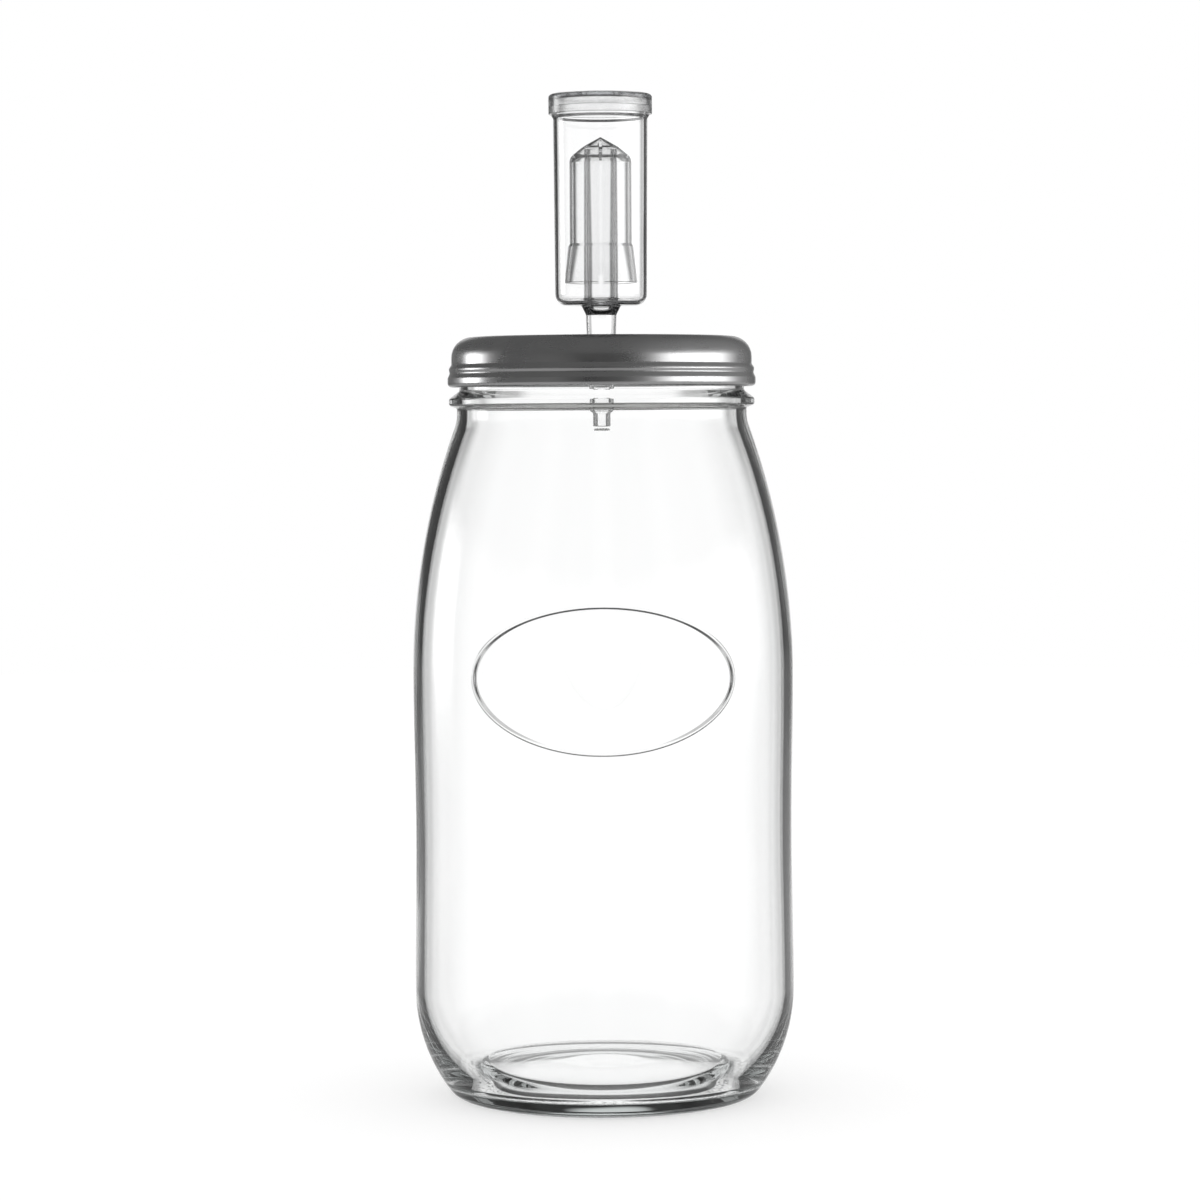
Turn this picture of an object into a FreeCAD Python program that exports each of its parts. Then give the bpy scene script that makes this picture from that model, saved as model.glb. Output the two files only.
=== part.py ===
"""Three-litre glass fermentation jar with a twist lid and a three-piece water airlock.

Sizes are in millimetres. The jar stands on Z = 0 with its axis on +Z, and every piece is a lathe form about
that axis, so an outline is drawn as radius and height and then turned once round.
"""
import FreeCAD
import Part
import math
import os

Vector = FreeCAD.Vector
AXIS = Vector(0, 0, 1)
ORIGIN = Vector(0, 0, 0)

# Glass jar
JAR_HEIGHT = 278.1         # table to the sealing rim
BODY_RADIUS = 70.0
BODY_WALL = 3.2
WAIST_DEPTH = 0.6          # how far the label panel is drawn in
HEEL_SWEEP = 62.0          # long curve from the side into the heel
HEEL_TURN = 36.5           # degrees that the long curve turns
HEEL_CORNER = 8.0          # short curve under the heel
BEARING_WIDTH = 4.4        # ring that the jar stands on
BEARING_FILLET = 2.0
PUSH_UP = 5.0              # hollow under the base
PUSH_UP_RUN = 25.0          # width of the slope round the hollow
PUSH_UP_FILLET = 90.0
BASE_THICKNESS = 5.5       # glass at the middle of the base
INNER_HEEL = 48.0          # curve from the inner side down to the gutter
INNER_HEEL_TURN = 34.0     # degrees that it turns
GUTTER_THICKNESS = 7.0     # glass under the low ring round the floor
GUTTER_WIDTH = 5.9
GUTTER_FILLET = 6.0
FLOOR_RUN = 3.1            # width of the slope from the gutter up to the floor
FLOOR_FILLET = 8.0
SHOULDER_START = 156.0     # height at which the side begins to draw in
NECK_FILLET = 15.0
NECK_LENGTH = 1.9          # plain neck under the bead
INNER_NECK_FILLET = 19.0
FINISH_RADIUS = 52.4       # outside of the mouth that the lid covers
FINISH_WALL = 3.1
NECK_STANDOUT = 0.9        # neck beyond the mouth's outside
BEAD_STANDOUT = 2.9        # handling bead beyond the neck
BEAD_UNDERCUT = 1.0        # height of the sloped underside of the bead
BEAD_FACE = 2.4            # upright face of the bead
BEAD_SLOPE = 2.9           # height of the sloped top of the bead
BEAD_FILLET = 0.9
BEAD_LID_GAP = 1.45        # bare glass between the bead and the lid
RIM_OUTER_FILLET = 1.4
RIM_INNER_FILLET = 0.6

# Flat silicone gasket between the rim and the lid
GASKET_THICKNESS = 1.5
GASKET_OVERHANG = 2.0      # inside the mouth
GASKET_SETBACK = 1.2       # in from the mouth's outside
GASKET_CHAMFER = 1.4

# Pressed steel twist lid
LID_SHEET = 0.45
LID_SKIRT_GAP = 2.35       # room for the thread between the mouth and the skirt
LID_CORNER = 7.5
LID_PANEL_GAP = 4.8        # gasket in to the sloped wall round the sunk panel
LID_PANEL_DROP = 1.8
LID_STEP_RUN = 2.4         # width of the sloped wall round the panel
LID_STEP_FILLET = 1.0
LID_UPPER_SKIRT = 3.0      # corner down to the rolled ridge
LID_RIDGE = 1.0            # how far the ridge stands out
LID_GROOVE = 0.4           # how far the groove below it goes back in
LID_RIDGE_HEIGHT = 1.8     # ridge down to the groove
LID_FLARE = 1.4            # how far the lower skirt stands out
LID_FLARE_HEIGHT = 2.4     # groove down to the lower skirt
LID_LOWER_SKIRT = 1.0
LID_CURL = 2.6             # width of the rolled hem
LID_FORM_FILLET = 1.2

# Silicone grommet in the hole of the lid
GROMMET_WALL = 1.8         # stem to the edge of the hole
GROMMET_FLANGE = 3.0       # beyond the edge of the hole
GROMMET_TOP_FLANGE = 2.0
GROMMET_UNDER_FLANGE = 2.6
GROMMET_FILLET = 0.8
GROMMET_GRIP_CLEARANCE = 0.05   # round the stem
GROMMET_HOLE_CLEARANCE = 0.05   # to the edge of the lid's hole

# Airlock body: cup, riser and stem in one moulding
STEM_FOOT_RADIUS = 4.3
STEM_TAPER = 1.3           # widening of the stem up to the boss
STEM_STANDOUT = 8.1        # bare stem between the lid and the boss
STEM_REACH = 27.1          # lid down to the step of the stem
TIP_LENGTH = 7.3
TIP_STEP = 1.1             # tip narrower than the stem
TIP_LEAD = 1.4             # cone between the tip and the stem
TUBE_WALL = 1.0
BOSS_STANDOUT = 1.7
BOSS_HEIGHT = 3.4
RISER_STANDOUT = 0.7       # foot of the riser beyond the top of the stem
RISER_TAPER = 0.3
RISER_HEIGHT = 54.9        # inner floor of the cup to the top of the riser
CUP_WALL = 1.3
CUP_ROOM = 2.1             # bobber's skirt to the foot of the cup
CUP_DRAFT = 0.5            # widening of the cup up to its lip
CUP_HEADROOM = 11.1        # bobber's tip up to the lip's top
CUP_CORNER = 4.2
CUP_INNER_CORNER = 2.7
LIP_STANDOUT = 0.6
LIP_HEIGHT = 3.4
LIP_UNDERCUT = 1.0         # cone under the lip

# Floating bobber
BOBBER_GAP = 4.0           # riser to the inside of the bobber
BOBBER_WALL = 1.1
BOBBER_PEAK = 5.4          # top of the riser to the tip of the dome
BOBBER_CROWN_RADIUS = 6.4  # tip of the dome that rises as a low cone
BOBBER_CROWN_DROP = 3.5
BOBBER_DOME_DROP = 4.0     # fall of the dome from the crown to the side
BOBBER_SHOULDER_FILLET = 3.4
BOBBER_SKIRT_LENGTH = 13.3
BOBBER_SKIRT_FLARE = 2.0
BOBBER_STEP = 0.6
BOBBER_FLOOR_GAP = 6.9     # skirt's hem above the cup's floor
BOBBER_RIB_COUNT = 4
BOBBER_RIB_THICKNESS = 1.0
BOBBER_RIB_INNER_RADIUS = 2.4
BOBBER_NOTCH_WIDTH = 2.4
BOBBER_NOTCH_HEIGHT = 2.6

# Dust cap
CAP_WALL = 0.95
CAP_SKIRT = 2.8            # reach of the cap below the lip's top
CAP_HEADROOM = 3.2         # lip's top to the underside of the cap
CAP_TOP_THICKNESS = 1.3
CAP_LIP_CLEARANCE = 0.15
CAP_EDGE_FILLET = 1.2
CAP_VENT_COUNT = 6
CAP_VENT_RADIUS = 0.9
CAP_VENT_CIRCLE = 9.5

# Heights that follow from the sizes above
RIM_Z = JAR_HEIGHT
LID_UNDERSIDE_Z = RIM_Z + GASKET_THICKNESS
LID_TOP_Z = LID_UNDERSIDE_Z + LID_SHEET
LID_RIDGE_Z = LID_TOP_Z - LID_CORNER - LID_UPPER_SKIRT
LID_GROOVE_Z = LID_RIDGE_Z - LID_RIDGE_HEIGHT
LID_FLARE_Z = LID_GROOVE_Z - LID_FLARE_HEIGHT
LID_HEM_Z = LID_FLARE_Z - LID_LOWER_SKIRT - LID_CURL
BEAD_Z = LID_HEM_Z - BEAD_LID_GAP - BEAD_SLOPE - BEAD_FACE - BEAD_UNDERCUT
NECK_Z = BEAD_Z - NECK_LENGTH
PANEL_TOP_Z = LID_TOP_Z - LID_PANEL_DROP
PANEL_UNDERSIDE_Z = PANEL_TOP_Z - LID_SHEET
STEM_STEP_Z = LID_TOP_Z - STEM_REACH
TIP_Z = STEM_STEP_Z - TIP_LENGTH
STEM_TOP_Z = LID_TOP_Z + STEM_STANDOUT
CUP_Z = STEM_TOP_Z + BOSS_HEIGHT
CUP_FLOOR_Z = CUP_Z + CUP_WALL
RISER_Z = CUP_FLOOR_Z + RISER_HEIGHT
PEAK_Z = RISER_Z + BOBBER_PEAK
CUP_TOP_Z = PEAK_Z + CUP_HEADROOM
CAP_UNDERSIDE_Z = CUP_TOP_Z + CAP_HEADROOM
CAP_TOP_Z = CAP_UNDERSIDE_Z + CAP_TOP_THICKNESS

# Radii that follow from the sizes above
BORE_RADIUS = FINISH_RADIUS - FINISH_WALL
NECK_RADIUS = FINISH_RADIUS + NECK_STANDOUT
BEAD_RADIUS = NECK_RADIUS + BEAD_STANDOUT
GASKET_INNER_RADIUS = BORE_RADIUS - GASKET_OVERHANG
LID_PANEL_RADIUS = GASKET_INNER_RADIUS - LID_PANEL_GAP - LID_STEP_RUN
LID_SKIRT_RADIUS = FINISH_RADIUS + LID_SKIRT_GAP + LID_SHEET
STEM_TOP_RADIUS = STEM_FOOT_RADIUS + STEM_TAPER
TIP_RADIUS = STEM_FOOT_RADIUS - TIP_STEP
BOSS_RADIUS = STEM_TOP_RADIUS + BOSS_STANDOUT
RISER_RADIUS = STEM_TOP_RADIUS + RISER_STANDOUT
RISER_TOP_RADIUS = RISER_RADIUS - RISER_TAPER
BOBBER_RADIUS = RISER_RADIUS + BOBBER_GAP + BOBBER_WALL
BOBBER_SKIRT_RADIUS = BOBBER_RADIUS + BOBBER_SKIRT_FLARE
CUP_FOOT_RADIUS = BOBBER_SKIRT_RADIUS + CUP_ROOM + CUP_WALL
CUP_TOP_RADIUS = CUP_FOOT_RADIUS + CUP_DRAFT
LIP_RADIUS = CUP_TOP_RADIUS + LIP_STANDOUT
CAP_RADIUS = LIP_RADIUS + CAP_LIP_CLEARANCE + CAP_WALL

# Corners never take more than this share of the shorter edge beside them
FILLET_SHARE = 0.49
SMALLEST_EDGE = 1e-6


def at(radius, height):
    """A point of an outline, in the XZ half plane."""
    return Vector(radius, 0, height)


def line(start, end):
    return Part.LineSegment(start, end).toShape()


def arc(centre, radius, start_degrees, end_degrees):
    """An arc about a centre, from one angle to another, measured from the radial direction."""

    def point(degrees):
        angle = math.radians(degrees)
        return centre + at(radius * math.cos(angle), radius * math.sin(angle))

    middle = (start_degrees + end_degrees) / 2
    return Part.Arc(point(start_degrees), point(middle), point(end_degrees)).toShape()


def rounded(*corners):
    """Edges through (radius, height, fillet) corners, each corner rounded by its fillet."""
    points = [at(r, z) for r, z, _ in corners]
    edges = []
    here = points[0]
    for before, corner, after, fillet in zip(points, points[1:], points[2:], [c[2] for c in corners[1:]]):
        back = before - corner
        ahead = after - corner
        half = back.getAngle(ahead) / 2
        reach = min(fillet / math.tan(half), FILLET_SHARE * back.Length, FILLET_SHARE * ahead.Length)
        if reach < SMALLEST_EDGE:
            edges.append(line(here, corner))
            here = corner
            continue
        back = back.normalize()
        ahead = ahead.normalize()
        bisector = (back + ahead).normalize()
        start = corner + back * reach
        end = corner + ahead * reach
        radius = reach * math.tan(half)
        middle = corner + bisector * (radius / math.sin(half) - radius)
        if (start - here).Length > SMALLEST_EDGE:
            edges.append(line(here, start))
        edges.append(Part.Arc(start, middle, end).toShape())
        here = end
    edges.append(line(here, points[-1]))
    return edges


def lathe(edges):
    """Turns a closed outline once round the axis."""
    wire = Part.Wire(Part.__sortEdges__(edges))
    return Part.Face(wire).revolve(ORIGIN, AXIS, 360)


def closed(edges):
    """The edges and the straight line that closes them."""
    ordered = Part.__sortEdges__(edges)
    wire = Part.Wire(ordered)
    ends = [vertex.Point for vertex in (wire.OrderedVertexes[0], wire.OrderedVertexes[-1])]
    return edges + [line(*ends)]


def spokes(shape, count):
    """Copies of a shape at equal steps round the axis."""
    copies = []
    for step in range(count):
        turned = shape.copy()
        turned.rotate(ORIGIN, AXIS, step * 360.0 / count)
        copies.append(turned)
    return copies


def shoulder(low_radius, low_height, high_radius, high_height, fillet):
    """Two arcs tangent to each other that draw a side in to a neck, both ends upright."""
    inset = low_radius - high_radius
    rise = high_height - low_height
    turn = 2 * math.degrees(math.atan2(inset, rise))
    sweep = rise / math.sin(math.radians(turn)) - fillet
    return [
        arc(at(low_radius - sweep, low_height), sweep, 0, turn),
        arc(at(high_radius + fillet, high_height), fillet, 180 + turn, 180),
    ]


def waisted(radius, low_height, high_height):
    """A side that draws in slightly at its middle and leaves both ends upright."""
    curve = Part.BSplineCurve()
    curve.interpolate(
        Points=[
            at(radius, low_height),
            at(radius - WAIST_DEPTH, (low_height + high_height) / 2),
            at(radius, high_height),
        ],
        InitialTangent=AXIS,
        FinalTangent=AXIS,
    )
    return curve.toShape()


def glass_jar():
    """Blown jar: pushed-up base, swept heel, waisted side, long shoulder and a beaded neck."""
    sweep_centre_r = BODY_RADIUS - HEEL_SWEEP
    turn = math.radians(HEEL_TURN)
    heel_top = HEEL_CORNER + (HEEL_SWEEP - HEEL_CORNER) * math.sin(turn)
    bearing_outer = sweep_centre_r + (HEEL_SWEEP - HEEL_CORNER) * math.cos(turn)
    bearing_inner = bearing_outer - BEARING_WIDTH
    outside = rounded(
        (0, PUSH_UP, 0),
        (bearing_inner - PUSH_UP_RUN, PUSH_UP, PUSH_UP_FILLET),
        (bearing_inner, 0, BEARING_FILLET),
        (bearing_outer, 0, 0),
    )
    outside += [
        arc(at(bearing_outer, HEEL_CORNER), HEEL_CORNER, -90, -HEEL_TURN),
        arc(at(sweep_centre_r, heel_top), HEEL_SWEEP, -HEEL_TURN, 0),
        waisted(BODY_RADIUS, heel_top, SHOULDER_START),
    ]
    outside += shoulder(BODY_RADIUS, SHOULDER_START, NECK_RADIUS, NECK_Z, NECK_FILLET)

    neck = rounded(
        (NECK_RADIUS, NECK_Z, 0),
        (NECK_RADIUS, BEAD_Z, BEAD_FILLET),
        (BEAD_RADIUS, BEAD_Z + BEAD_UNDERCUT, BEAD_FILLET),
        (BEAD_RADIUS, BEAD_Z + BEAD_UNDERCUT + BEAD_FACE, BEAD_FILLET),
        (FINISH_RADIUS, BEAD_Z + BEAD_UNDERCUT + BEAD_FACE + BEAD_SLOPE, BEAD_FILLET),
        (FINISH_RADIUS, RIM_Z, RIM_OUTER_FILLET),
        (BORE_RADIUS, RIM_Z, RIM_INNER_FILLET),
        (BORE_RADIUS, NECK_Z, 0),
    )

    inner_radius = BODY_RADIUS - BODY_WALL
    floor_z = PUSH_UP + BASE_THICKNESS
    heel_centre_r = inner_radius - INNER_HEEL
    inner_turn = math.radians(INNER_HEEL_TURN)
    heel_end_r = heel_centre_r + INNER_HEEL * math.cos(inner_turn)
    heel_end_z = heel_top - INNER_HEEL * math.sin(inner_turn)
    gutter_outer = heel_end_r - (heel_end_z - GUTTER_THICKNESS) * math.tan(inner_turn)
    gutter_inner = gutter_outer - GUTTER_WIDTH
    inside = shoulder(inner_radius, SHOULDER_START, BORE_RADIUS, NECK_Z, INNER_NECK_FILLET)
    inside += [
        waisted(inner_radius, heel_top, SHOULDER_START),
        arc(at(heel_centre_r, heel_top), INNER_HEEL, 0, -INNER_HEEL_TURN),
    ]
    inside += rounded(
        (heel_end_r, heel_end_z, 0),
        (gutter_outer, GUTTER_THICKNESS, GUTTER_FILLET),
        (gutter_inner, GUTTER_THICKNESS, GUTTER_FILLET),
        (gutter_inner - FLOOR_RUN, floor_z, FLOOR_FILLET),
        (0, floor_z, 0),
    )
    return lathe(outside + neck + inside + [line(at(0, floor_z), at(0, PUSH_UP))])


def lid_gasket():
    """Flat ring that the lid presses on the rim, chamfered to clear the corner of the lid."""
    inner = GASKET_INNER_RADIUS
    outer = FINISH_RADIUS - GASKET_SETBACK
    return lathe(closed(rounded(
        (inner, RIM_Z, 0),
        (outer, RIM_Z, 0),
        (outer, LID_UNDERSIDE_Z - GASKET_CHAMFER, 0),
        (outer - GASKET_CHAMFER, LID_UNDERSIDE_Z, 0),
        (inner, LID_UNDERSIDE_Z, 0),
    )))


def stem_radius(height):
    """Outside of the tapered stem at a height."""
    share = (height - STEM_STEP_Z) / (STEM_TOP_Z - STEM_STEP_Z)
    return STEM_FOOT_RADIUS + (STEM_TOP_RADIUS - STEM_FOOT_RADIUS) * share


def hole_radius():
    """Hole in the lid that takes the grommet round the stem."""
    return stem_radius(PANEL_TOP_Z) + GROMMET_WALL


def lid():
    """One sheet pressed to a sunk panel, a round corner, a ridged skirt and a rolled hem."""
    half = LID_SHEET / 2
    skirt = LID_SKIRT_RADIUS - half
    flare = skirt + LID_FLARE
    top = LID_TOP_Z - half
    panel = PANEL_TOP_Z - half
    hem_z = LID_HEM_Z + half
    curl = LID_CURL / 2
    middle = rounded(
        (hole_radius(), panel, 0),
        (LID_PANEL_RADIUS, panel, LID_STEP_FILLET),
        (LID_PANEL_RADIUS + LID_STEP_RUN, top, LID_STEP_FILLET),
        (skirt, top, LID_CORNER - half),
        (skirt, LID_RIDGE_Z + LID_UPPER_SKIRT / 2, LID_FORM_FILLET),
        (skirt + LID_RIDGE, LID_RIDGE_Z, LID_FORM_FILLET),
        (skirt + LID_RIDGE - LID_GROOVE, LID_GROOVE_Z, LID_FORM_FILLET),
        (flare, LID_FLARE_Z, LID_FORM_FILLET),
        (flare, hem_z, curl),
        (flare - LID_CURL, hem_z, curl),
        (flare - LID_CURL, hem_z + LID_CURL, curl),
        (flare - curl, hem_z + LID_CURL, 0),
    )
    outer = Part.Wire(middle).makeOffset2D(half, 0, False, True, False)
    inner = Part.Wire(middle).makeOffset2D(-half, 0, False, True, False)
    ends = [
        line(outer.OrderedVertexes[k].Point, inner.OrderedVertexes[k].Point) for k in (0, -1)
    ]
    return lathe(outer.Edges + inner.Edges + ends)


def lid_grommet():
    """Flanged ring that grips the edge of the lid's hole and the tapered stem."""
    high = PANEL_TOP_Z + GROMMET_TOP_FLANGE
    low = PANEL_UNDERSIDE_Z - GROMMET_UNDER_FLANGE
    groove = hole_radius() - GROMMET_HOLE_CLEARANCE
    flange = hole_radius() + GROMMET_FLANGE
    return lathe(closed(rounded(
        (stem_radius(low) + GROMMET_GRIP_CLEARANCE, low, 0),
        (flange, low, GROMMET_FILLET),
        (flange, PANEL_UNDERSIDE_Z, 0),
        (groove, PANEL_UNDERSIDE_Z, 0),
        (groove, PANEL_TOP_Z, 0),
        (flange, PANEL_TOP_Z, 0),
        (flange, high, GROMMET_FILLET),
        (stem_radius(high) + GROMMET_GRIP_CLEARANCE, high, 0),
    )))


def airlock_body():
    """Clear cup with a riser standing in it and a tapered stem below, bored right through."""
    cup_inner_top = CUP_TOP_RADIUS - CUP_WALL
    cup_inner_foot = CUP_FOOT_RADIUS - CUP_WALL
    return lathe(closed(rounded(
        (TIP_RADIUS - TUBE_WALL, TIP_Z, 0),
        (TIP_RADIUS, TIP_Z, TUBE_WALL / 2),
        (TIP_RADIUS, STEM_STEP_Z - TIP_LEAD, 0),
        (STEM_FOOT_RADIUS, STEM_STEP_Z, 0),
        (STEM_TOP_RADIUS, STEM_TOP_Z, TUBE_WALL),
        (BOSS_RADIUS, CUP_Z, TUBE_WALL),
        (CUP_FOOT_RADIUS, CUP_Z, CUP_CORNER),
        (CUP_TOP_RADIUS, CUP_TOP_Z - LIP_HEIGHT - LIP_UNDERCUT, 0),
        (LIP_RADIUS, CUP_TOP_Z - LIP_HEIGHT, 0),
        (LIP_RADIUS, CUP_TOP_Z, CUP_WALL / 3),
        (cup_inner_top, CUP_TOP_Z, CUP_WALL / 3),
        (cup_inner_foot, CUP_FLOOR_Z, CUP_INNER_CORNER),
        (RISER_RADIUS, CUP_FLOOR_Z, TUBE_WALL),
        (RISER_TOP_RADIUS, RISER_Z, 0),
        (RISER_TOP_RADIUS - TUBE_WALL, RISER_Z, 0),
        (STEM_TOP_RADIUS - TUBE_WALL, STEM_TOP_Z, 0),
        (STEM_FOOT_RADIUS - TUBE_WALL, STEM_STEP_Z, 0),
        (TIP_RADIUS - TUBE_WALL, STEM_STEP_Z - TIP_LEAD, 0),
    )))


def airlock_bobber():
    """Inverted cup that floats over the riser, with ribs under its dome and notches in its skirt."""
    inner = BOBBER_RADIUS - BOBBER_WALL
    skirt_inner = BOBBER_SKIRT_RADIUS - BOBBER_WALL
    hem_z = CUP_FLOOR_Z + BOBBER_FLOOR_GAP
    step_z = hem_z + BOBBER_SKIRT_LENGTH
    crown_z = PEAK_Z - BOBBER_CROWN_DROP
    dome_z = crown_z - BOBBER_DOME_DROP
    shell = lathe(closed(rounded(
        (0, PEAK_Z, 0),
        (BOBBER_CROWN_RADIUS, crown_z, BOBBER_WALL),
        (BOBBER_RADIUS, dome_z, BOBBER_SHOULDER_FILLET),
        (BOBBER_RADIUS, step_z, 0),
        (BOBBER_RADIUS + BOBBER_STEP, step_z, 0),
        (BOBBER_SKIRT_RADIUS, hem_z, 0),
        (skirt_inner, hem_z, 0),
        (inner, step_z, 0),
        (inner, dome_z - BOBBER_WALL, BOBBER_SHOULDER_FILLET - BOBBER_WALL),
        (BOBBER_CROWN_RADIUS, crown_z - BOBBER_WALL, 0),
        (0, PEAK_Z - BOBBER_WALL, 0),
    )))
    rib_reach = BOBBER_RADIUS - BOBBER_WALL / 2
    under_dome = lathe(closed(rounded(
        (0, PEAK_Z - BOBBER_WALL / 2, 0),
        (BOBBER_CROWN_RADIUS, crown_z - BOBBER_WALL / 2, 0),
        (rib_reach, dome_z - BOBBER_WALL / 2, 0),
        (rib_reach, step_z, 0),
        (0, step_z, 0),
    )))
    rib = Part.makeBox(
        rib_reach - BOBBER_RIB_INNER_RADIUS,
        BOBBER_RIB_THICKNESS,
        PEAK_Z - RISER_Z,
        Vector(BOBBER_RIB_INNER_RADIUS, -BOBBER_RIB_THICKNESS / 2, RISER_Z),
    ).common(under_dome)
    notch = Part.makeBox(
        2 * BOBBER_WALL + BOBBER_SKIRT_RADIUS - BOBBER_RADIUS,
        BOBBER_NOTCH_WIDTH,
        BOBBER_NOTCH_HEIGHT,
        Vector(BOBBER_RADIUS - BOBBER_WALL, -BOBBER_NOTCH_WIDTH / 2, hem_z),
    )
    return shell.fuse(spokes(rib, BOBBER_RIB_COUNT)).cut(spokes(notch, BOBBER_RIB_COUNT)).removeSplitter()


def airlock_cap():
    """Push-on dust cap that sits on the cup's lip, with vent holes through its top."""
    skirt_z = CUP_TOP_Z - CAP_SKIRT
    skirt_inner = LIP_RADIUS + CAP_LIP_CLEARANCE
    ledge_inner = CUP_TOP_RADIUS - CUP_WALL
    shell = lathe(closed(rounded(
        (0, CAP_UNDERSIDE_Z, 0),
        (ledge_inner, CAP_UNDERSIDE_Z, CAP_EDGE_FILLET),
        (ledge_inner, CUP_TOP_Z, 0),
        (skirt_inner, CUP_TOP_Z, 0),
        (skirt_inner, skirt_z, 0),
        (CAP_RADIUS, skirt_z, CAP_LIP_CLEARANCE),
        (CAP_RADIUS, CAP_TOP_Z, CAP_EDGE_FILLET),
        (0, CAP_TOP_Z, 0),
    )))
    vent = Part.makeCylinder(
        CAP_VENT_RADIUS, CAP_TOP_THICKNESS, Vector(CAP_VENT_CIRCLE, 0, CAP_UNDERSIDE_Z), AXIS
    )
    return shell.cut(spokes(vent, CAP_VENT_COUNT))


PIECES = {
    "glass_jar": glass_jar,
    "lid_gasket": lid_gasket,
    "lid": lid,
    "lid_grommet": lid_grommet,
    "airlock_body": airlock_body,
    "airlock_bobber": airlock_bobber,
    "airlock_cap": airlock_cap,
}

os.makedirs("parts", exist_ok=True)
for name, make in PIECES.items():
    piece = make()
    print(name, "valid" if piece.isValid() else "INVALID", len(piece.Solids), "solid", round(piece.Volume, 1), "mm3")
    piece.exportStep(os.path.join("parts", name + ".step"))
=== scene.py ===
import math

import bmesh
import bpy
from mathutils import Matrix, Vector


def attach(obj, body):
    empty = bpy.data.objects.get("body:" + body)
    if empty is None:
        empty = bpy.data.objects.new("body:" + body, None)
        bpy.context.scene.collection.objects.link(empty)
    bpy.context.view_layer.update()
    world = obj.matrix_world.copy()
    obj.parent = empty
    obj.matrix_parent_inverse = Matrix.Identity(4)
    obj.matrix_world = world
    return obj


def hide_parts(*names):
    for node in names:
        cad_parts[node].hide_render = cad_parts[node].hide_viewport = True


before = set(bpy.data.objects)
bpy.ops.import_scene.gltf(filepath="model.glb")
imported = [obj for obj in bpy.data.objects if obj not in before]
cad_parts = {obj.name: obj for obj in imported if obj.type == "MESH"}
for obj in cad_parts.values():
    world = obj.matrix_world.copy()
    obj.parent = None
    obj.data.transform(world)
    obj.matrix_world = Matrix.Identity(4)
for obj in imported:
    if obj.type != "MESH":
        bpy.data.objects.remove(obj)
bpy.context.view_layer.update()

# Glass jar
# One piece of clear soda-lime glass, blown in a two-part mould: a pushed-up base, a swept heel, a long shoulder, a
# carrying bead and a mouth with six short threads. A plain raised oval marks the front, and the bearing ring is
# stippled.
MM = 0.001
JAR_STEPS = 180
BODY_RADIUS = 70.0
BODY_WALL = 3.2
WAIST = 0.6
PUSH_UP = 5.0
HEEL_FOOT = 51.41
HEEL_CORNER = 8.0
HEEL_CORNER_TURN = 53.5
HEEL_CENTRE = 8.0
HEEL_TURN = 36.5
HEEL_TOP = 40.12
INNER_HEEL_CENTRE = 18.8
INNER_HEEL_TURN = 34.0
GUTTER = 7.0
FLOOR = 10.5
SHOULDER_START = 156.0
SHOULDER_CENTRE = -199.87
SHOULDER_TURN = 19.716
INNER_SHOULDER_CENTRE = -186.84
INNER_SHOULDER_TURN = 20.639
NECK = 252.1
NECK_CENTRE = 68.3
BEAD_RADIUS = 56.2
MOUTH_RADIUS = 52.4
BORE_RADIUS = 49.3
RIM = 278.1
THREADS = 6
THREAD_TURN = 50.0
THREAD_END_TURN = 7.0
THREAD_RISE = 3.0
THREAD_FOOT = 264.0
THREAD_LOW = 267.0
THREAD_TOP = 273.2
THREAD_HALF = 1.6
THREAD_PROUD = 1.1
OVAL_HEIGHT = 158.0
OVAL_HALVES = (46.0, 26.0)
OVAL_BAND = 3.0     # how far from its line the mesh is made fine
OVAL_RIDGE = 1.15     # half the width of the ridge
OVAL_PROUD = 0.85
OVAL_CUTS = 9
OVAL_FRONT = -30.0     # the oval lies in front of this Y
OVAL_SKIN = 67.6     # a radius between the two faces of the wall
SHARP_DEGREES = 35


def pen_down(radius, height):
    """A new outline drawing in the XZ half plane, with its first point. Sizes are in millimetres."""
    drawing = bmesh.new()
    return drawing, drawing.verts.new((radius * MM, 0, height * MM))


def eased(share):
    """A share from 0 to 1 that leaves both ends gently."""
    return share * share * (3 - 2 * share)


def run(drawing, tip, radius, height, pieces=1, drawn_in=0.0):
    """A straight run from the tip to a point, or one that is drawn in at its middle."""
    start, end = tip.co.copy(), Vector((radius * MM, 0, height * MM))
    for piece in range(1, pieces + 1):
        tip = bmesh.ops.extrude_vert_indiv(drawing, verts=[tip])["verts"][0]
        tip.co = start.lerp(end, piece / pieces)
        tip.co.x -= drawn_in * MM * eased(1 - abs(2 * piece / pieces - 1))
    return tip


def sweep(drawing, tip, centre_radius, centre_height, degrees, steps):
    """An arc from the tip about a centre, anticlockwise where degrees is above zero."""
    turned = bmesh.ops.spin(
        drawing, geom=[tip], cent=(centre_radius * MM, 0, centre_height * MM), axis=(0, 1, 0),
        angle=-math.radians(degrees), steps=steps, use_merge=False,
    )
    return turned["geom_last"][0]


def corners(drawing, tip, *points, segments=5):
    """Straight runs through (radius, height, fillet) points, each corner rounded by its fillet."""
    tips = [tip]
    for radius, height, _ in points:
        tips.append(run(drawing, tips[-1], radius, height))
    places = [point.co.copy() for point in tips]
    for before, corner, after, tip, (_, _, fillet) in zip(places, places[1:], places[2:], tips[1:], points):
        if fillet:
            half = (before - corner).angle(after - corner) / 2
            bmesh.ops.bevel(
                drawing, geom=[tip], offset=fillet * MM / math.tan(half), offset_type="OFFSET", segments=segments,
                profile=0.5, affect="VERTICES", material=-1, clamp_overlap=True,
            )
    return tips[-1]


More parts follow.
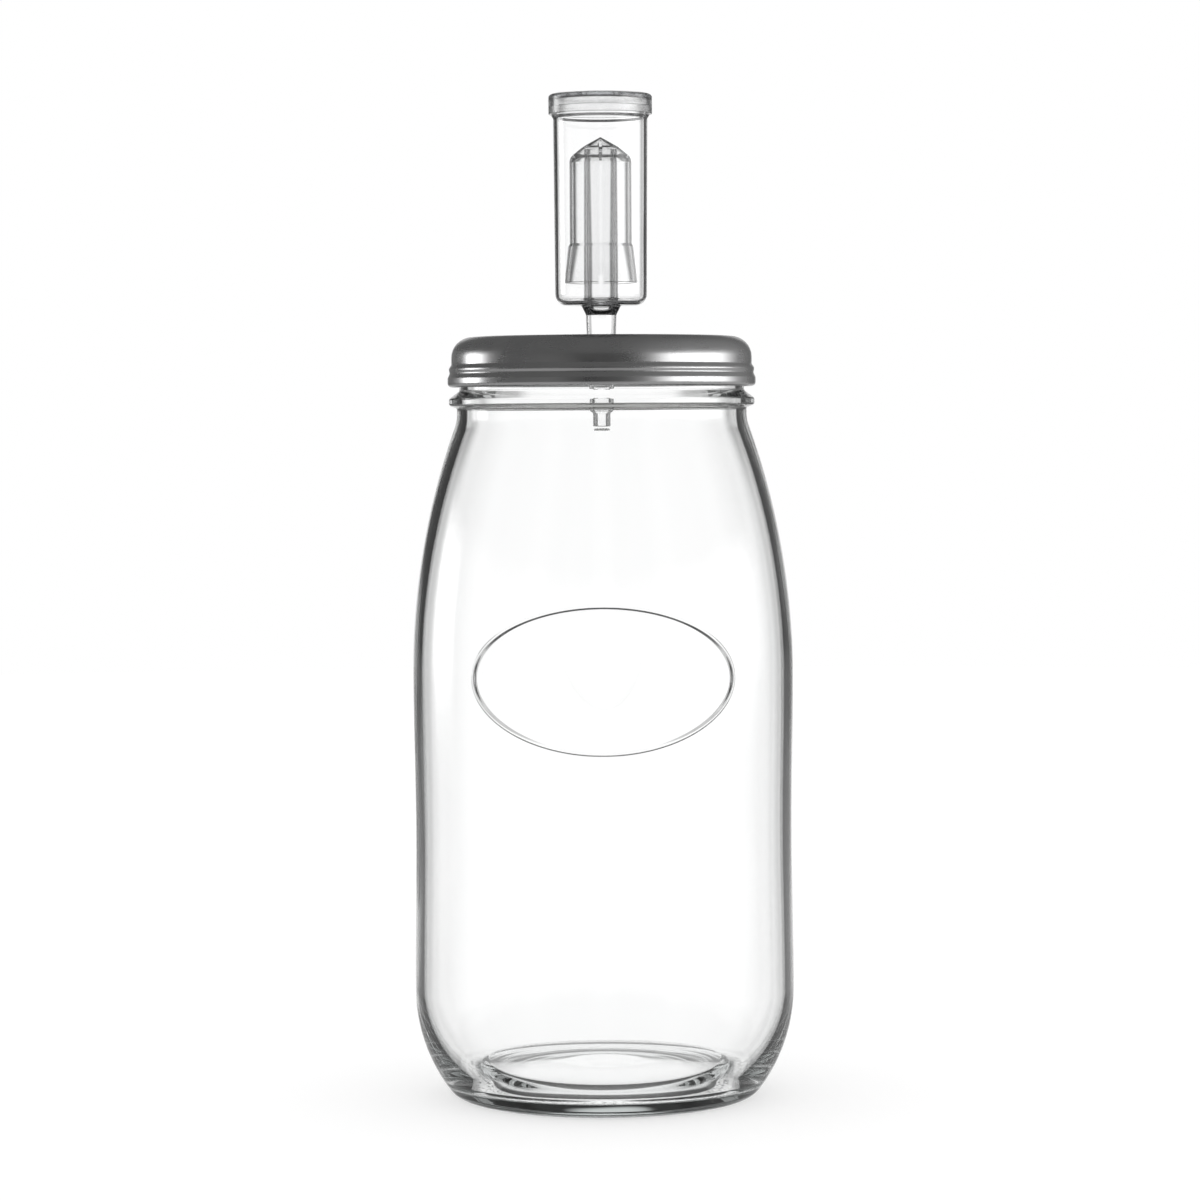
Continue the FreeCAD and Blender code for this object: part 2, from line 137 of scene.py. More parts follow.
def lathe(drawing, steps):
    """Turns an outline once round the axis and closes the seam and the poles."""
    bmesh.ops.spin(
        drawing, geom=drawing.verts[:] + drawing.edges[:], cent=(0, 0, 0), axis=(0, 0, 1), angle=math.tau,
        steps=steps, use_merge=True,
    )
    bmesh.ops.remove_doubles(drawing, verts=drawing.verts[:], dist=1e-7)
    bmesh.ops.recalc_face_normals(drawing, faces=drawing.faces[:])


def reach(point):
    """Distance of a point from the axis, in millimetres."""
    return math.hypot(point.co.x, point.co.y) / MM


def push_out(point, distance):
    """Moves a point away from the axis, in millimetres."""
    grown = 1 + distance / reach(point)
    point.co.x *= grown
    point.co.y *= grown


def piece_from(drawing, name, material, sharp_degrees=SHARP_DEGREES):
    """The finished mesh as a piece of the object, smooth except at its edges."""
    mesh = bpy.data.meshes.new(name)
    drawing.to_mesh(mesh)
    drawing.free()
    mesh.shade_smooth()
    mesh.set_sharp_from_angle(angle=math.radians(sharp_degrees))
    mesh.materials.append(material)
    piece = bpy.data.objects.new(name, mesh)
    bpy.context.scene.collection.objects.link(piece)
    piece.modifiers.new("true_normals", "WEIGHTED_NORMAL").keep_sharp = True
    return piece


def wire(tree, node, inputs):
    """Sets a node's inputs from numbers and colours, or links them from other nodes' outputs."""
    for name, value in inputs.items():
        if isinstance(value, bpy.types.NodeSocket):
            tree.links.new(value, node.inputs[name])
        else:
            node.inputs[name].default_value = value
    return node


def sums(tree, operation, *values):
    """A Math node's result."""
    node = tree.nodes.new("ShaderNodeMath")
    node.operation = operation
    return wire(tree, node, dict(enumerate(values))).outputs[0]


def soft_step(tree, value, low, high, to_low, to_high):
    """A value that goes smoothly from one level to another between two limits."""
    node = tree.nodes.new("ShaderNodeMapRange")
    node.interpolation_type = "SMOOTHSTEP"
    return wire(
        tree, node, {"Value": value, "From Min": low, "From Max": high, "To Min": to_low, "To Max": to_high}
    ).outputs["Result"]


def grain(tree, place, scale, detail):
    """Noise at a scale, from 0 to 1."""
    noise = tree.nodes.new("ShaderNodeTexNoise")
    return wire(tree, noise, {"Vector": place, "Scale": scale, "Detail": detail}).outputs["Fac"]


def object_place(tree):
    """A piece's own coordinates, and the same split in three."""
    place = tree.nodes.new("ShaderNodeTexCoord").outputs["Object"]
    return place, wire(tree, tree.nodes.new("ShaderNodeSeparateXYZ"), {"Vector": place}).outputs


def off_axis(tree, axes):
    """Distance from the object's axis."""
    return sums(tree, "SQRT", sums(tree, "ADD", sums(tree, "POWER", axes["X"], 2), sums(tree, "POWER", axes["Y"], 2)))


def new_material(name):
    """A material, its nodes and its shader."""
    material = bpy.data.materials.new(name)
    material.use_nodes = True
    return material, material.node_tree, material.node_tree.nodes["Principled BSDF"]


def raised(tree, shader, height):
    """Gives the shader the relief of a height in metres."""
    bump = wire(tree, tree.nodes.new("ShaderNodeBump"), {"Strength": 1, "Distance": 1, "Height": height})
    tree.links.new(bump.outputs["Normal"], shader.inputs["Normal"])


def mould_group():
    """Height of a moulded surface: slow unevenness, and the fine line where the halves of the mould met."""
    group = bpy.data.node_groups.new("moulded_surface", "ShaderNodeTree")
    for name in ("Ripple Scale", "Ripple", "Seam Width", "Seam", "Seam Reach"):
        group.interface.new_socket(name, in_out="INPUT", socket_type="NodeSocketFloat")
    group.interface.new_socket("Height", in_out="OUTPUT", socket_type="NodeSocketFloat")
    given = group.nodes.new("NodeGroupInput").outputs
    place, axes = object_place(group)
    drawn = group.nodes.new("ShaderNodeVectorMath")
    drawn.operation = "MULTIPLY"
    wire(group, drawn, {0: place, 1: (1, 1, 0.4)})
    uneven = grain(group, drawn.outputs["Vector"], given["Ripple Scale"], 1)
    uneven = sums(group, "MULTIPLY", uneven, given["Ripple"])
    seam = soft_step(group, sums(group, "ABSOLUTE", axes["Y"]), 0, given["Seam Width"], given["Seam"], 0)
    seam = sums(group, "MULTIPLY", seam, sums(group, "GREATER_THAN", off_axis(group, axes), given["Seam Reach"]))
    wire(group, group.nodes.new("NodeGroupOutput"), {"Height": sums(group, "ADD", uneven, seam)})
    return group


moulded_surface = mould_group()


def clear_material(name, ior, roughness, absorbed, density, ripple_scale, ripple, seam_width, seam, seam_reach):
    """A clear solid that takes a little light on the way through, and the height of its moulded surface."""
    material, tree, shader = new_material(name)
    wire(tree, shader, {"Base Color": (1, 1, 1, 1), "Roughness": roughness, "IOR": ior, "Transmission Weight": 1})
    depth = wire(tree, tree.nodes.new("ShaderNodeVolumeAbsorption"), {"Color": (*absorbed, 1), "Density": density})
    tree.links.new(depth.outputs["Volume"], tree.nodes["Material Output"].inputs["Volume"])
    surface = tree.nodes.new("ShaderNodeGroup")
    surface.node_tree = moulded_surface
    wire(tree, surface, {
        "Ripple Scale": ripple_scale, "Ripple": ripple,
        "Seam Width": seam_width, "Seam": seam, "Seam Reach": seam_reach,
    })
    return material, tree, shader, surface.outputs["Height"]


def jar_glass_material():
    """Clear glass with stipple under its heel."""
    material, tree, shader, height = clear_material(
        "jar_glass", ior=1.5, roughness=0.0, absorbed=(0.3, 0.36, 0.35), density=8.0,
        ripple_scale=22.0, ripple=0.0003, seam_width=0.0007, seam=0.00012, seam_reach=0.052,
    )
    place, axes = object_place(tree)
    dots = wire(tree, tree.nodes.new("ShaderNodeTexVoronoi"), {"Vector": place, "Scale": 900}).outputs["Distance"]
    underneath = sums(tree, "LESS_THAN", axes["Z"], 0.0004)
    stipple = sums(tree, "MULTIPLY", soft_step(tree, dots, 0.1, 0.5, 0.0002, 0), underneath)
    raised(tree, shader, sums(tree, "ADD", height, stipple))
    return material


def off_oval(place):
    """About how far a place on the front of the jar lies from the line of the oval, in millimetres."""
    on_front = place.y < OVAL_FRONT * MM
    on_outside = math.hypot(place.x, place.y) > OVAL_SKIN * MM
    if not (on_front and on_outside):
        return BODY_RADIUS
    across, up = place.x / MM / OVAL_HALVES[0], (place.z / MM - OVAL_HEIGHT) / OVAL_HALVES[1]
    share = math.hypot(across, up)
    return abs(share - 1) * share / max(math.hypot(across / OVAL_HALVES[0], up / OVAL_HALVES[1]), 0.001)


def outside_radius(height):
    """Radius of the jar's outside at a height near the oval."""
    if height > SHOULDER_START:
        sweep_radius = BODY_RADIUS - SHOULDER_CENTRE
        return math.sqrt(sweep_radius ** 2 - (height - SHOULDER_START) ** 2) + SHOULDER_CENTRE
    return BODY_RADIUS - WAIST * eased(1 - abs(2 * (height - HEEL_TOP) / (SHOULDER_START - HEEL_TOP) - 1))


jar, tip = pen_down(0, PUSH_UP)
tip = corners(jar, tip, (22.01, PUSH_UP, 90.0), (47.01, 0, 2.0), (HEEL_FOOT, 0, 0), segments=8)
tip = sweep(jar, tip, HEEL_FOOT, HEEL_CORNER, HEEL_CORNER_TURN, 12)
tip = sweep(jar, tip, HEEL_CENTRE, HEEL_TOP, HEEL_TURN, 22)
tip = run(jar, tip, BODY_RADIUS, SHOULDER_START, 40, WAIST)
tip = sweep(jar, tip, SHOULDER_CENTRE, SHOULDER_START, SHOULDER_TURN, 38)
tip = sweep(jar, tip, NECK_CENTRE, NECK, -SHOULDER_TURN, 6)
tip = corners(
    jar, tip,
    (53.3, 254.0, 0.9), (BEAD_RADIUS, 255.0, 0.9), (BEAD_RADIUS, 257.4, 0.9), (MOUTH_RADIUS, 260.3, 0.9),
    (MOUTH_RADIUS, THREAD_FOOT, 0),
)
tip = run(jar, tip, MOUTH_RADIUS, THREAD_TOP, 23)
tip = corners(jar, tip, (MOUTH_RADIUS, RIM, 1.4), (BORE_RADIUS, RIM, 0.6), (BORE_RADIUS, NECK, 0))
tip = sweep(jar, tip, NECK_CENTRE, NECK, INNER_SHOULDER_TURN, 10)
tip = sweep(jar, tip, INNER_SHOULDER_CENTRE, SHOULDER_START, -INNER_SHOULDER_TURN, 38)
tip = run(jar, tip, BODY_RADIUS - BODY_WALL, HEEL_TOP, 40, WAIST)
tip = sweep(jar, tip, INNER_HEEL_CENTRE, HEEL_TOP, -INNER_HEEL_TURN, 22)
tip = corners(
    jar, tip,
    (54.36, GUTTER, 4.5), (48.46, GUTTER, 5.0), (45.36, FLOOR, 5.0), (0, FLOOR, 0),
    segments=8,
)
lathe(jar, JAR_STEPS)
for point in jar.verts:
    height = point.co.z / MM
    if THREAD_FOOT + 0.1 < height < THREAD_TOP - 0.1 and reach(point) > MOUTH_RADIUS - 1:
        along = math.degrees(math.atan2(point.co.y, point.co.x)) % (360 / THREADS)
        ends = min(along, THREAD_TURN - along) / THREAD_END_TURN
        across = (height - THREAD_LOW - THREAD_RISE * along / THREAD_TURN) / THREAD_HALF
        if ends > 0 and abs(across) < 1:
            push_out(point, THREAD_PROUD * min(1, ends) * (1 - across * across) ** 2)
band = {face for face in jar.faces if off_oval(face.calc_center_median()) < OVAL_BAND}
bmesh.ops.subdivide_edges(
    jar, edges=[edge for edge in jar.edges if not band.isdisjoint(edge.link_faces)], cuts=OVAL_CUTS, use_grid_fill=True
)
for point in jar.verts:
    if off_oval(point.co) < 2 * OVAL_BAND:
        ridge = OVAL_PROUD * eased(max(0, 1 - off_oval(point.co) / OVAL_RIDGE))
        push_out(point, outside_radius(point.co.z / MM) + ridge - reach(point))
glass_jar = piece_from(jar, "clear_glass_jar", jar_glass_material(), sharp_degrees=60)
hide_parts("glass_jar")
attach(glass_jar, "jar")

# Lid gasket
# A flat ring cut from white food-grade silicone sheet, chamfered to clear the corner of the lid. It lies in the lid
# and is pressed on the rim.
GASKET_INNER = 47.3
GASKET_OUTER = 51.2
LID_UNDERSIDE = RIM + 1.5


def silicone_material(name, colour):
    """Matt silicone with the fine grain of its mould and a faint bloom."""
    material, tree, shader = new_material(name)
    place, _ = object_place(tree)
    wire(tree, shader, {
        "Base Color": (*colour, 1), "Subsurface Weight": 0.15, "Subsurface Radius": (0.002, 0.002, 0.002),
        "Roughness": soft_step(tree, grain(tree, place, 120, 2), 0.3, 0.7, 0.42, 0.62),
    })
    raised(tree, shader, sums(tree, "MULTIPLY", grain(tree, place, 1800, 3), 0.00003))
    return material


gasket, tip = pen_down(GASKET_INNER, RIM)
tip = corners(
    gasket, tip,
    (GASKET_OUTER, RIM, 0), (GASKET_OUTER, RIM + 0.1, 0), (GASKET_OUTER - 1.4, LID_UNDERSIDE, 0.2),
    (GASKET_INNER, LID_UNDERSIDE, 0.2), (GASKET_INNER, RIM, 0),
    segments=3,
)
lathe(gasket, 128)
lid_gasket = piece_from(gasket, "silicone_gasket", silicone_material("white_silicone", (0.8, 0.8, 0.78)))
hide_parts("lid_gasket")
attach(lid_gasket, "seal")

# Lid
# One blank of satin steel pressed to a sunk panel with a punched hole, a round corner, a rolled ridge and groove, a
# flared lower skirt and a hem curled inwards, dented at six places into lugs. White lacquer covers the inside.
LID_SHEET = 0.45
LID_HALF = LID_SHEET / 2
LID_HOLE = 7.03
LID_SKIRT = 55.2 - LID_HALF
LID_FLARE = LID_SKIRT + 1.4
LID_CURL = LID_SKIRT - 1.2
LID_TOP = LID_UNDERSIDE + LID_HALF
LID_PANEL = LID_TOP - 1.8
LID_HEM = 261.75 + LID_HALF
LID_CURL_TOP = LID_HEM + 2.6
LID_LUGS = 6
LUG_REACH = 0.7
LUG_HALF_TURN = 8.0


def steel_material(name):
    """Satin steel with fine drawn lines round the axis, faint clouds and a few duller patches."""
    material, tree, shader = new_material(name)
    place, axes = object_place(tree)
    clouds = grain(tree, place, 45, 4)
    ring = wire(tree, tree.nodes.new("ShaderNodeCombineXYZ"), {"X": off_axis(tree, axes), "Y": axes["Z"]})
    lines = grain(tree, ring.outputs["Vector"], 2600, 3)
    tone = tree.nodes.new("ShaderNodeMix")
    tone.data_type = "RGBA"
    wire(tree, tone, {"Factor": clouds, "A": (0.5, 0.5, 0.505, 1), "B": (0.62, 0.62, 0.62, 1)})
    gloss = sums(tree, "ADD", soft_step(tree, clouds, 0.3, 0.7, 0.2, 0.3), sums(tree, "MULTIPLY", lines, 0.08))
    wire(tree, shader, {"Metallic": 1, "Base Color": tone.outputs["Result"], "Roughness": gloss})
    raised(tree, shader, sums(tree, "MULTIPLY", lines, 0.00001))
    return material


def lacquer_material(name):
    """White food-safe lacquer with a slight orange peel."""
    material, tree, shader = new_material(name)
    place, _ = object_place(tree)
    wire(tree, shader, {
        "Base Color": (0.86, 0.86, 0.84, 1), "Coat Weight": 0.3,
        "Roughness": soft_step(tree, grain(tree, place, 90, 2), 0.3, 0.7, 0.25, 0.4),
    })
    raised(tree, shader, sums(tree, "MULTIPLY", grain(tree, place, 500, 2), 0.00004))
    return material


lid, tip = pen_down(LID_HOLE, LID_PANEL)
tip = run(lid, tip, 20.0, LID_PANEL, 6)
tip = corners(
    lid, tip,
    (40.1, LID_PANEL, 1.0), (42.5, LID_TOP, 1.0), (LID_SKIRT, LID_TOP, 7.5 - LID_HALF), (LID_SKIRT, 269.85, 1.2),
    (LID_SKIRT + 1.0, 268.35, 1.2), (LID_SKIRT + 0.6, 266.75, 1.2), (LID_FLARE, 264.95, 1.2),
    (LID_FLARE, LID_HEM, 1.27), (LID_CURL, LID_HEM, 1.27), (LID_CURL, LID_CURL_TOP, 1.27),
    (LID_SKIRT + 0.1, LID_CURL_TOP, 0),
    segments=8,
)
lathe(lid, 192)
for point in lid.verts:
    if point.co.z < (LID_CURL_TOP + 0.1) * MM and reach(point) < LID_SKIRT:
        turn = math.degrees(math.atan2(point.co.y, point.co.x)) % (360 / LID_LUGS) - 180 / LID_LUGS
        if abs(turn) < LUG_HALF_TURN:
            push_out(point, -LUG_REACH * (1 - (turn / LUG_HALF_TURN) ** 2) ** 2)
steel_lid = piece_from(lid, "steel_lid", steel_material("lid_steel"), sharp_degrees=60)
steel_lid.data.materials.append(lacquer_material("white_lacquer"))
sheet = steel_lid.modifiers.new("sheet", "SOLIDIFY")
sheet.thickness = LID_SHEET * MM
sheet.offset = 0
sheet.use_even_offset = True
sheet.material_offset = 1
steel_lid.modifiers.move(1, 0)
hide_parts("lid")
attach(steel_lid, "lid")

# Grommet
# A flanged ring of grey silicone pressed into the lid's hole. Its groove holds the edge of the sheet, and its bore
# grips the airlock's stem.
PANEL_TOP = LID_PANEL + LID_HALF
PANEL_UNDERSIDE = LID_PANEL - LID_HALF
GROMMET_TOP = PANEL_TOP + 2.0
GROMMET_FOOT = PANEL_UNDERSIDE - 2.6
GROMMET_BORE = 5.17
GROMMET_GROOVE = 6.98
GROMMET_FLANGE = 10.03
grommet, tip = pen_down(GROMMET_BORE, GROMMET_FOOT)
tip = corners(
    grommet, tip,
    (GROMMET_FLANGE, GROMMET_FOOT, 0.8), (GROMMET_FLANGE, PANEL_UNDERSIDE, 0.2), (GROMMET_GROOVE, PANEL_UNDERSIDE, 0),
    (GROMMET_GROOVE, PANEL_TOP, 0), (GROMMET_FLANGE, PANEL_TOP, 0.2), (GROMMET_FLANGE, GROMMET_TOP, 0.8),
    (5.36, GROMMET_TOP, 0.3), (GROMMET_BORE, GROMMET_FOOT, 0),
    segments=4,
)
lathe(grommet, 96)
lid_grommet = piece_from(grommet, "stem_grommet", silicone_material("grey_silicone", (0.35, 0.35, 0.35)))
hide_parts("lid_grommet")
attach(lid_grommet, "lid")

# Airlock body
# One clear styrene moulding: a cup for water, a riser tube that stands in it, and a tapered stem below. The bore
# runs from the tip of the stem to the top of the riser.
STEM_TIP = 245.65
STEM_TIP_TOP = 251.55
STEM_STEP = 252.95
STEM_TOP = 288.15
CUP_FOOT = 291.55
CUP_FLOOR = 292.85
RISER_TOP = 347.75
CUP_TOP = 364.25


def plastic_material():
    """Clear styrene, very slightly wavy from the mould, and satin round the grip of the cap."""
    material, tree, shader, height = clear_material(
        "clear_plastic", ior=1.55, roughness=0.012, absorbed=(0.3, 0.33, 0.36), density=22.0,
        ripple_scale=60.0, ripple=0.00008, seam_width=0.0003, seam=0.00006, seam_reach=0,
    )
    _, axes = object_place(tree)
    wire(tree, shader, {"Roughness": soft_step(tree, off_axis(tree, axes), 0.0186, 0.0189, 0.012, 0.2)})
    raised(tree, shader, height)
    return material


clear_plastic = plastic_material()
airlock, tip = pen_down(2.2, STEM_TIP)
tip = corners(
    airlock, tip,
    (3.2, STEM_TIP, 0.5), (3.2, STEM_TIP_TOP, 0.5), (4.3, STEM_STEP, 0.5), (5.6, STEM_TOP, 1.0), (7.3, CUP_FOOT, 1.0),
    (16.8, CUP_FOOT, 4.2), (17.3, 359.85, 0.4), (17.9, 360.85, 0.4), (17.9, CUP_TOP, 0.43), (16.0, CUP_TOP, 0.43),
    (15.5, CUP_FLOOR, 2.7), (6.3, CUP_FLOOR, 1.0), (6.0, RISER_TOP, 0.3), (5.0, RISER_TOP, 0.3), (4.6, STEM_TOP, 0),
    (3.3, STEM_STEP, 0.4), (2.2, STEM_TIP_TOP, 0.4), (2.2, STEM_TIP, 0),
    segments=6,
)
lathe(airlock, 128)
airlock_body = piece_from(airlock, "airlock_cup_and_stem", clear_plastic)
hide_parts("airlock_body")
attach(airlock_body, "airlock")

# Bobber
# A thin clear inverted cup that floats over the riser. Four ribs under its cone keep it off the riser, and its
# flared skirt has four notches that let the gas out.
BOBBER_PEAK = 353.15
BOBBER_STEP = 313.05
BOBBER_HEM = 299.75
BOBBER_RIBS = 4
BOBBER_NOTCHES = 4
BOBBER_NOTCH_TOP = BOBBER_HEM + 2.6


def carve(piece, drawing, operation):
    """Cuts a drawing's shape out of a piece, or joins it on."""
    mesh = bpy.data.meshes.new("tool")
    drawing.to_mesh(mesh)
    drawing.free()
    tool = bpy.data.objects.new("tool", mesh)
    bpy.context.scene.collection.objects.link(tool)
    change = piece.modifiers.new("carve", "BOOLEAN")
    change.solver, change.operation, change.object = "EXACT", operation, tool
    piece.modifiers.move(1, 0)
    plain = piece.data
    piece.data = bpy.data.meshes.new_from_object(piece.evaluated_get(bpy.context.evaluated_depsgraph_get()))
    piece.data.name = plain.name
    piece.modifiers.remove(change)
    for old in (plain, mesh):
        bpy.data.meshes.remove(old)
    piece.data.set_sharp_from_angle(angle=math.radians(SHARP_DEGREES))


def spokes(drawing, count, near, far, width, low, high, far_high):
    """Upright plates that stand round the axis like spokes, each with its height at its near and its far end."""
    for step in range(count):
        plate = bmesh.ops.create_cube(drawing, size=1)["verts"]
        bmesh.ops.scale(drawing, verts=plate, vec=((far - near) * MM, width * MM, (high - low) * MM))
        bmesh.ops.translate(drawing, verts=plate, vec=((far + near) / 2 * MM, 0, (high + low) / 2 * MM))
        for point in plate:
            if point.co.x > (far + near) / 2 * MM and point.co.z > (high + low) / 2 * MM:
                point.co.z = far_high * MM
        bmesh.ops.rotate(drawing, verts=plate, cent=(0, 0, 0), matrix=Matrix.Rotation(math.tau * step / count, 3, "Z"))


bobber, tip = pen_down(0, BOBBER_PEAK)
tip = corners(
    bobber, tip,
    (0.6, BOBBER_PEAK - 0.33, 0), (6.4, 349.65, 1.1), (11.4, 345.65, 3.4), (11.4, BOBBER_STEP + 1.0, 0.3),
    (12.0, BOBBER_STEP, 0.2), (13.4, BOBBER_HEM, 0.3), (12.3, BOBBER_HEM, 0.3), (10.3, BOBBER_STEP, 0),
    (10.3, 344.55, 2.3), (6.4, 348.55, 1.0), (0.6, BOBBER_PEAK - 1.43, 0), (0, BOBBER_PEAK - 1.1, 0),
    segments=5,
)
lathe(bobber, 96)
airlock_bobber = piece_from(bobber, "airlock_bobber_cup", clear_plastic)
ribs = bmesh.new()
spokes(ribs, BOBBER_RIBS, near=2.4, far=7.7, width=1.0, low=RISER_TOP, high=351.29, far_high=347.8)
carve(airlock_bobber, ribs, "UNION")
notches = bmesh.new()
spokes(
    notches, BOBBER_NOTCHES, near=10.3, far=15.0, width=2.4, low=BOBBER_HEM - 1, high=BOBBER_NOTCH_TOP,
    far_high=BOBBER_NOTCH_TOP,
)
carve(airlock_bobber, notches, "DIFFERENCE")
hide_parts("airlock_bobber")
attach(airlock_bobber, "bobber")

# Dust cap
# A clear styrene cap pushed over the cup's lip to keep dust out. Its grip is satin, and six vent holes through its
# top let the gas away.
CAP_UNDERSIDE = 367.45
CAP_TOP = 368.75
CAP_HEM = 361.45
CAP_RADIUS = 19.0
CAP_BORE = 18.05
CAP_VENTS = 6
CAP_VENT_RADIUS = 0.9
CAP_VENT_CIRCLE = 9.5
cap, tip = pen_down(0, CAP_UNDERSIDE)
tip = corners(
    cap, tip,
    (16.0, CAP_UNDERSIDE, 1.2), (16.0, CUP_TOP, 0.15), (CAP_BORE, CUP_TOP, 0.15), (CAP_BORE, CAP_HEM, 0.15),
    (CAP_RADIUS, CAP_HEM, 0.2), (CAP_RADIUS, CAP_TOP, 1.2), (0, CAP_TOP, 0),
    segments=5,
)
lathe(cap, 128)
airlock_cap = piece_from(cap, "airlock_dust_cap", clear_plastic)
vents = bmesh.new()
for step in range(CAP_VENTS):
    turned = Matrix.Rotation(math.tau * step / CAP_VENTS, 4, "Z")
    bmesh.ops.create_cone(
        vents, cap_ends=True, segments=24, radius1=CAP_VENT_RADIUS * MM, radius2=CAP_VENT_RADIUS * MM, depth=4 * MM,
        matrix=turned @ Matrix.Translation((CAP_VENT_CIRCLE * MM, 0, (CAP_UNDERSIDE + CAP_TOP) / 2 * MM)),
    )
carve(airlock_cap, vents, "DIFFERENCE")
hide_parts("airlock_cap")
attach(airlock_cap, "cap")

# Floor
# A plain pale studio floor. It is as bright as the backdrop to the eye and in metal, it keeps the shadow, and clear
# pieces see through it to the room.
FLOOR_GLOW = 0.62
floor_drawing = bmesh.new()
bmesh.ops.create_circle(floor_drawing, cap_ends=True, radius=2.5, segments=96)
floor_paint, tree, shader = new_material("floor_paint")
path = tree.nodes.new("ShaderNodeLightPath").outputs
seen = sums(tree, "MAXIMUM", path["Is Camera Ray"], path["Is Glossy Ray"])
wire(tree, shader, {
    "Base Color": (0.6, 0.6, 0.6, 1), "Roughness": 1, "Specular IOR Level": 0,
    "Emission Color": (1, 1, 1, 1), "Emission Strength": sums(tree, "MULTIPLY", seen, FLOOR_GLOW),
})
far_off = soft_step(tree, off_axis(tree, object_place(tree)[1]), 0.4, 2.2, 0.65, 1)
seen_through = tree.nodes.new("ShaderNodeMixShader")
wire(tree, seen_through, {
    "Fac": sums(tree, "MAXIMUM", path["Is Transmission Ray"], sums(tree, "MULTIPLY", path["Is Glossy Ray"], far_off)),
})
tree.links.new(shader.outputs["BSDF"], seen_through.inputs[1])
tree.links.new(tree.nodes.new("ShaderNodeBsdfTransparent").outputs["BSDF"], seen_through.inputs[2])
tree.links.new(seen_through.outputs["Shader"], tree.nodes["Material Output"].inputs["Surface"])
floor = piece_from(floor_drawing, "studio_floor", floor_paint)

# Studio
# A white room. Clear pieces see a white panel at the back, paler panels and dark flags beside it, so that their edges
# read, and a pale room all round. Metal sees a dim room with two soft windows.
WHITE_PANEL = 1.12
SIDE_PANELS = 0.6
PALE_ROOM = 0.85
VESSEL_SURFACES = 4     # surfaces that light crosses on its way straight through an empty jar or cup
VESSEL_ROOM = 0.6
DARKEST = 0.03
WINDOWS = ((102, 33, 3.2), (-66, 11, 4.5))     # bearing and half width in degrees, and brightness
DIFFUSE_LIGHT = 0.75


def between(tree, angle, low, high, to_low, to_high):
    """A soft step between two angles in degrees."""
    return soft_step(tree, angle, math.radians(low), math.radians(high), to_low, to_high)


def away_from(tree, angle, aim):
    """How far an angle is from an aim in degrees."""
    return sums(tree, "ABSOLUTE", sums(tree, "SUBTRACT", angle, math.radians(aim)))


world = bpy.data.worlds.new("studio")
bpy.context.scene.world = world
world.use_nodes = True
tree = world.node_tree
path = tree.nodes.new("ShaderNodeLightPath").outputs
heading = tree.nodes.new("ShaderNodeTexCoord").outputs["Generated"]
way = wire(tree, tree.nodes.new("ShaderNodeSeparateXYZ"), {"Vector": heading}).outputs
bearing = sums(tree, "ARCTAN2", way["X"], way["Y"])
beside = sums(tree, "ABSOLUTE", bearing)
rise = sums(tree, "ARCSINE", way["Z"])
low_room = between(tree, rise, 10, 17, 1, 0)

main_panel = sums(tree, "MULTIPLY", between(tree, beside, 10, 16, 1, 0), between(tree, rise, 12, 20, 1, 0))
eighths = sums(tree, "COSINE", sums(tree, "MULTIPLY", bearing, 8))
low_panels = sums(
    tree, "MAXIMUM", soft_step(tree, eighths, 0.375, 0.72, 0, SIDE_PANELS), between(tree, rise, -80, -65, 1, 0)
)
panel = sums(tree, "MAXIMUM", main_panel, sums(tree, "MULTIPLY", low_panels, low_room))
flag = between(tree, away_from(tree, rise, -6), 2, 5, 0.1, 0.02)
flag = sums(tree, "MAXIMUM", flag, between(tree, beside, 55, 85, 0, PALE_ROOM))
straight_through = sums(tree, "COMPARE", path["Transmission Depth"], VESSEL_SURFACES, 0.5)
flag = sums(tree, "MAXIMUM", flag, sums(tree, "MULTIPLY", straight_through, VESSEL_ROOM))
flag = sums(tree, "MAXIMUM", sums(tree, "MULTIPLY", flag, low_room), DARKEST)
behind_glass = sums(tree, "ADD", flag, sums(tree, "MULTIPLY", panel, sums(tree, "SUBTRACT", WHITE_PANEL, flag)))

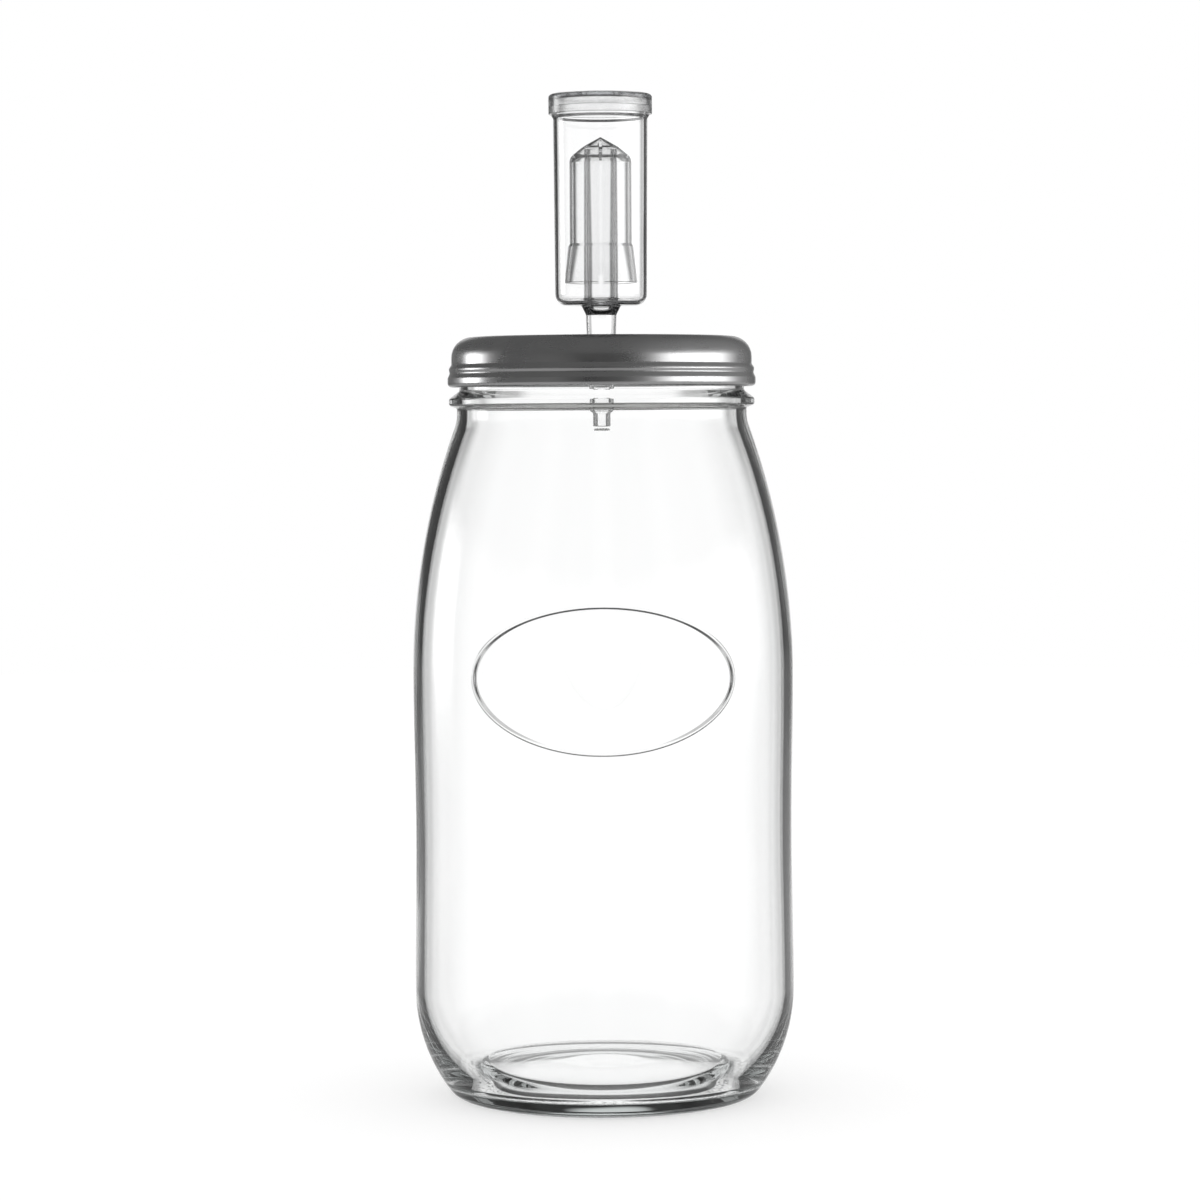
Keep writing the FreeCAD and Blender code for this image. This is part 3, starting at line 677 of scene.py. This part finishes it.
dim_room = soft_step(tree, way["X"], 0.1, 0.9, 0.13, 0.3)
in_metal = sums(tree, "ADD", dim_room, sums(tree, "MULTIPLY", main_panel, 0.7))
camera_side = sums(tree, "MULTIPLY", between(tree, rise, 5, 14, 1, 0), between(tree, beside, 145, 165, 0, 0.7))
in_metal = sums(tree, "MULTIPLY", in_metal, sums(tree, "SUBTRACT", 1, camera_side))
for aim, half, bright in WINDOWS:
    across = between(tree, away_from(tree, bearing, aim), half * 0.6, half * 1.3, bright, 0)
    window = sums(tree, "MULTIPLY", across, between(tree, away_from(tree, rise, 3), 3, 11, 1, 0))
    in_metal = sums(tree, "ADD", in_metal, window)

by_eye, through = path["Is Camera Ray"], path["Is Transmission Ray"]
mirrored = sums(tree, "MULTIPLY", path["Is Glossy Ray"], sums(tree, "SUBTRACT", 1, through))
diffuse = sums(tree, "SUBTRACT", sums(tree, "SUBTRACT", sums(tree, "SUBTRACT", 1, through), mirrored), by_eye)
level = sums(tree, "ADD", by_eye, sums(tree, "MULTIPLY", diffuse, DIFFUSE_LIGHT))
level = sums(tree, "ADD", level, sums(tree, "MULTIPLY", through, behind_glass))
level = sums(tree, "ADD", level, sums(tree, "MULTIPLY", mirrored, in_metal))
wire(tree, tree.nodes["Background"], {"Color": (1, 1, 1, 1), "Strength": level})

# Camera
# A long lens at the photograph's viewing angle, level with the jar's neck and looking slightly down. Rays may cross
# all the clear walls of the airlock.
EYE = Vector((-0.001, -1.449, 0.25))
TARGET = Vector((-0.001, 0, 0.1832))
ROLL = math.radians(-0.3)
camera = bpy.data.cameras.new("camera")
camera.lens = 118
camera.sensor_width = 36
viewer = bpy.data.objects.new("camera", camera)
aimed = (TARGET - EYE).to_track_quat("-Z", "Y").to_matrix().to_4x4()
viewer.matrix_world = Matrix.Translation(EYE) @ aimed @ Matrix.Rotation(ROLL, 4, "Z")
scene = bpy.context.scene
scene.collection.objects.link(viewer)
scene.camera = viewer
scene.view_settings.view_transform = "Standard"
scene.cycles.use_denoising = True
scene.cycles.max_bounces = 40
scene.cycles.transmission_bounces = 32
scene.cycles.glossy_bounces = 12
